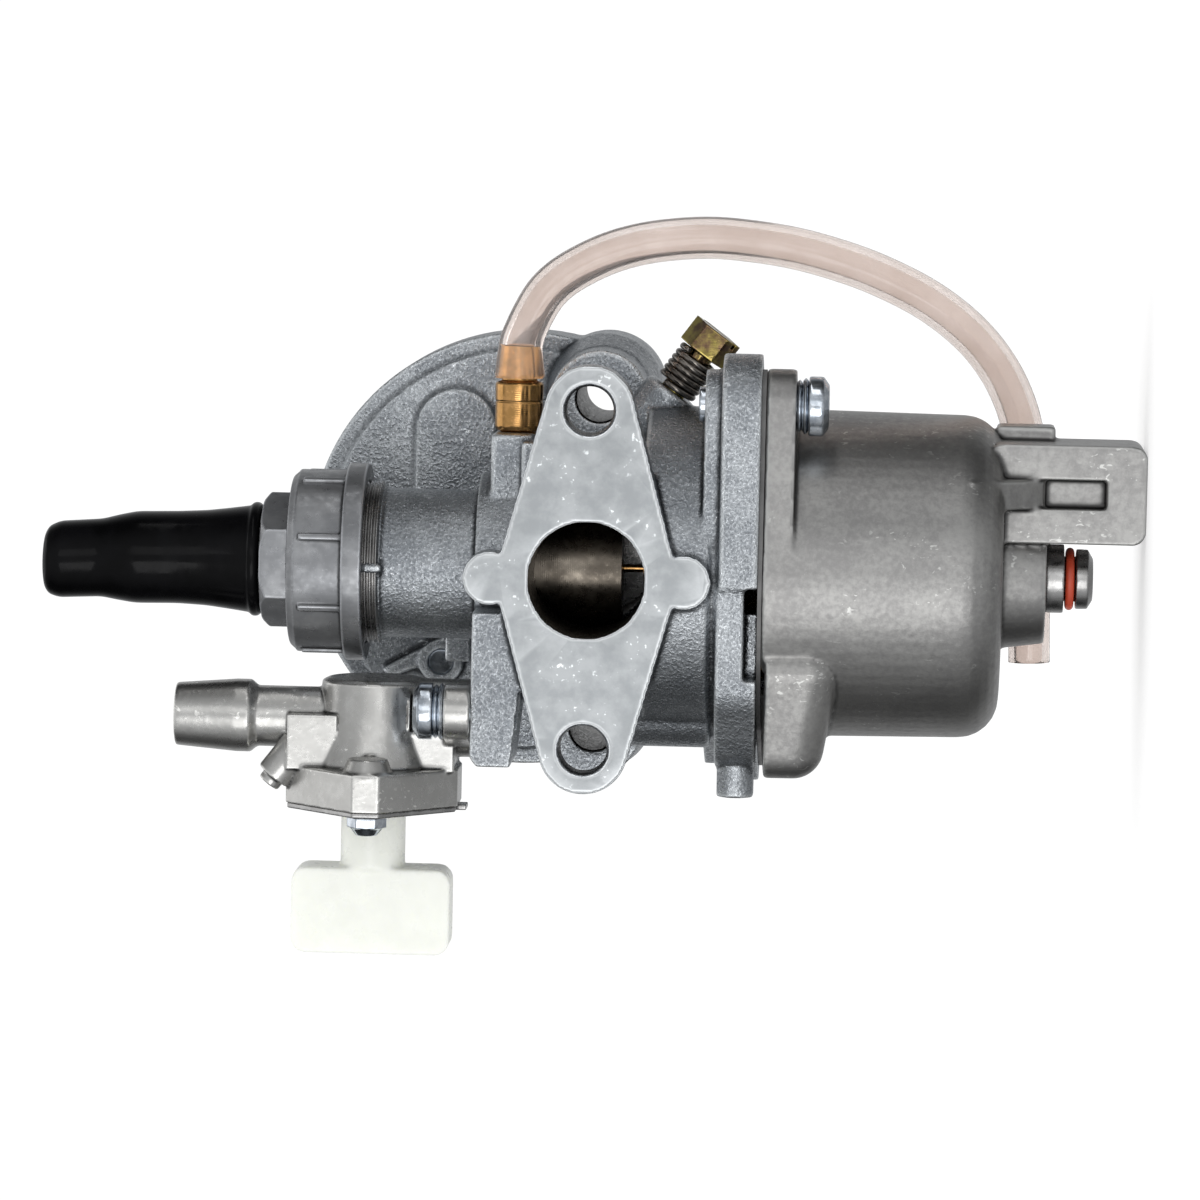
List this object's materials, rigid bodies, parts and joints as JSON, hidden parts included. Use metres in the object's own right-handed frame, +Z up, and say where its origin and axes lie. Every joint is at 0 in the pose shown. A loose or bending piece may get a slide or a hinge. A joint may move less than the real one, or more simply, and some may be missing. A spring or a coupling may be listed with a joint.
{
  "type": "slide carburettor",
  "caption": "Small two-stroke slide carburettor with engine flange, float bowl, lever fuel tap, air pan with choke shutter and clear vent hose.",
  "frame": {"origin": "centre of the throttle bore on the engine flange's face", "axes": "+Z up the throttle barrel, -Y out of the engine flange, +X towards the vent nipple"},
  "size_m": [0.0838, 0.0498, 0.125],
  "materials": {
    "body_casting": "blasted casting",
    "bowl_casting": "warm grey casting",
    "cap_metal": "smooth grey",
    "tap_casting": "tumbled casting",
    "zinc_screw": "bright zinc",
    "steel": "bright steel",
    "spring_steel": "dull",
    "yellow_zinc": "yellow passivated",
    "brass": "turned",
    "slide_metal": "oiled",
    "black_rubber": "glossy rubber",
    "red_seal": "smooth",
    "clear_hose": "clear plastic",
    "white_nylon": "milky nylon",
    "float_plastic": "plain",
    "gasket_paper": "plain"
  },
  "bodies": {
    "carburettor": {"carb_body": "body_casting", "float_bowl": "bowl_casting", "bowl_gasket": "gasket_paper", "bowl_screws": "zinc_screw", "bowl_screw_washers": "zinc_screw", "drain_screw": "steel", "drain_seal": "red_seal", "ring_nut": "cap_metal", "cap_seal": "black_rubber", "cap_insert": "cap_metal", "adjuster_lock_nut": "zinc_screw", "idle_spring": "spring_steel", "vent_nipple": "brass", "vent_hose": "clear_hose", "float_pin": "steel", "needle_seat": "brass", "needle_jet": "brass", "main_jet": "brass", "pilot_jet": "brass", "choke_pivot_screw": "zinc_screw", "choke_washer": "steel", "fuel_tap_body": "tap_casting", "tap_gasket": "black_rubber", "wave_washer": "steel", "retainer_plate": "steel", "retainer_screws": "zinc_screw", "tap_mounting_screw": "zinc_screw", "tap_spring_washer": "zinc_screw", "tap_outlet_seal": "black_rubber", "throttle_spring": "steel"},
    "throttle": {"throttle_slide": "slide_metal", "spring_seat": "white_nylon", "jet_needle": "brass", "needle_clip": "steel"},
    "adjuster": {"cable_adjuster": "zinc_screw", "rubber_boot": "black_rubber"},
    "idle_stop": {"idle_screw": "yellow_zinc"},
    "float_arm": {"float": "float_plastic"},
    "float_valve": {"float_needle": "steel"},
    "choke": {"choke_shutter": "steel"},
    "fuel_lever": {"tap_lever": "white_nylon"}
  },
  "joints": [
    {"name": "throttle_lift", "type": "slide", "parent": "carburettor", "child": "throttle", "axis": [0, 0, 1], "range_m": [0, 0.0099], "stiffness_N_per_m": 120, "springref_m": -0.01, "deforming": ["throttle_spring"]},
    {"name": "adjuster_turn", "type": "hinge", "parent": "carburettor", "child": "adjuster", "pos_m": [0, 0.019, 0.04], "axis": [0, 0, 1], "range_deg": [-360, 360]},
    {"name": "idle_screw_turn", "type": "hinge", "parent": "carburettor", "child": "idle_stop", "pos_m": [0.0197, 0.02, -0.0081], "axis": [0.8046, 0, -0.5937], "range_deg": [-360, 360]},
    {"name": "float_swing", "type": "hinge", "parent": "carburettor", "child": "float_arm", "pos_m": [-0.0126, 0.019, -0.0209], "axis": [0, 1, 0], "range_deg": [0, 7]},
    {"name": "float_needle_lift", "type": "slide", "parent": "carburettor", "child": "float_valve", "axis": [0, 0, -1], "range_m": [0, 0.00031]},
    {"name": "choke_swing", "type": "hinge", "parent": "carburettor", "child": "choke", "pos_m": [-0.0129, 0.0417, 0.0185], "axis": [0, 1, 0], "range_deg": [-45, 0]},
    {"name": "fuel_lever_turn", "type": "hinge", "parent": "carburettor", "child": "fuel_lever", "pos_m": [-0.03, 0.012, 0.0241], "axis": [1, 0, 0], "range_deg": [0, 90]}
  ],
  "couplings": [
    {"joint": "float_needle_lift", "follows": "float_swing", "m_per_rad": 0.0025}
  ]
}
